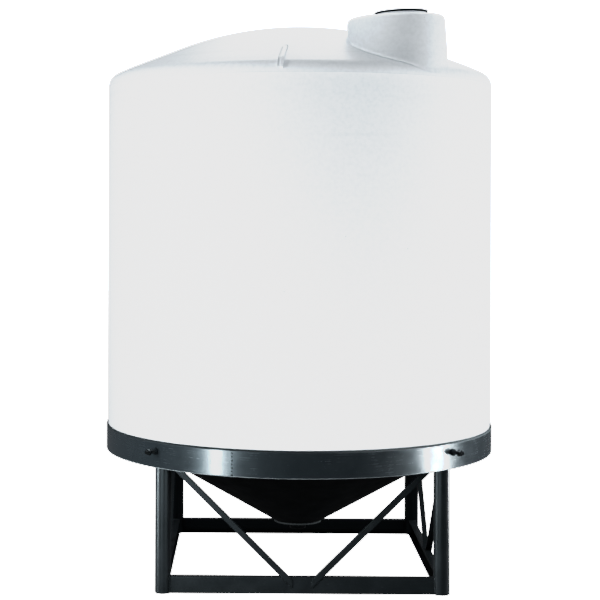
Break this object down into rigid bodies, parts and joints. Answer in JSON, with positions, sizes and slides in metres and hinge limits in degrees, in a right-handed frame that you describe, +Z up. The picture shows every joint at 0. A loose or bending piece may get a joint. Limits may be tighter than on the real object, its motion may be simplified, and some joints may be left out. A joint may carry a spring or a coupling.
{
  "type": "vertical storage tank",
  "caption": "Cone-bottom polyethylene storage tank with an offset manway neck and lid, carried in a rolled ring on a welded four-leg steel stand.",
  "frame": {"origin": "on the floor under the middle of the stand and the tank's centre line", "axes": "+Z up along the tank's centre line; -Y towards the front, the side with the manway neck; +X to the right seen from the front"},
  "size_m": [2.3056, 2.3056, 3.2336],
  "materials": {
    "polyethylene": "natural white rotationally moulded polyethylene, satin",
    "black_plastic": "moulded black polypropylene, satin",
    "ring_paint": "dark grey-green industrial enamel, satin gloss",
    "stand_paint": "dark grey industrial enamel, satin",
    "cone_paint": "black primer, matt",
    "zinc_steel": "zinc plated"
  },
  "bodies": {
    "root": {"tank_wall": "polyethylene", "tank_roof": "polyethylene", "tank_cone_bottom": "polyethylene", "manway_neck": "polyethylene", "lifting_rib_front": "polyethylene", "lifting_rib_rear": "polyethylene", "manway_lid": "black_plastic", "outlet_fitting": "black_plastic", "ring_band_left": "ring_paint", "ring_band_right": "ring_paint", "support_cone": "cone_paint", "support_cone_collar": "cone_paint", "leg_front_left": "stand_paint", "leg_front_right": "stand_paint", "leg_rear_left": "stand_paint", "leg_rear_right": "stand_paint", "base_beam_front": "stand_paint", "base_beam_rear": "stand_paint", "base_beam_left": "stand_paint", "base_beam_right": "stand_paint", "brace_front_left": "stand_paint", "brace_front_right": "stand_paint", "brace_rear_left": "stand_paint", "brace_rear_right": "stand_paint", "brace_left_front": "stand_paint", "brace_left_rear": "stand_paint", "brace_right_front": "stand_paint", "brace_right_rear": "stand_paint", "ring_bolt_front_left": "zinc_steel", "ring_bolt_front_right": "zinc_steel", "ring_bolt_rear_left": "zinc_steel", "ring_bolt_rear_right": "zinc_steel"}
  },
  "joints": []
}
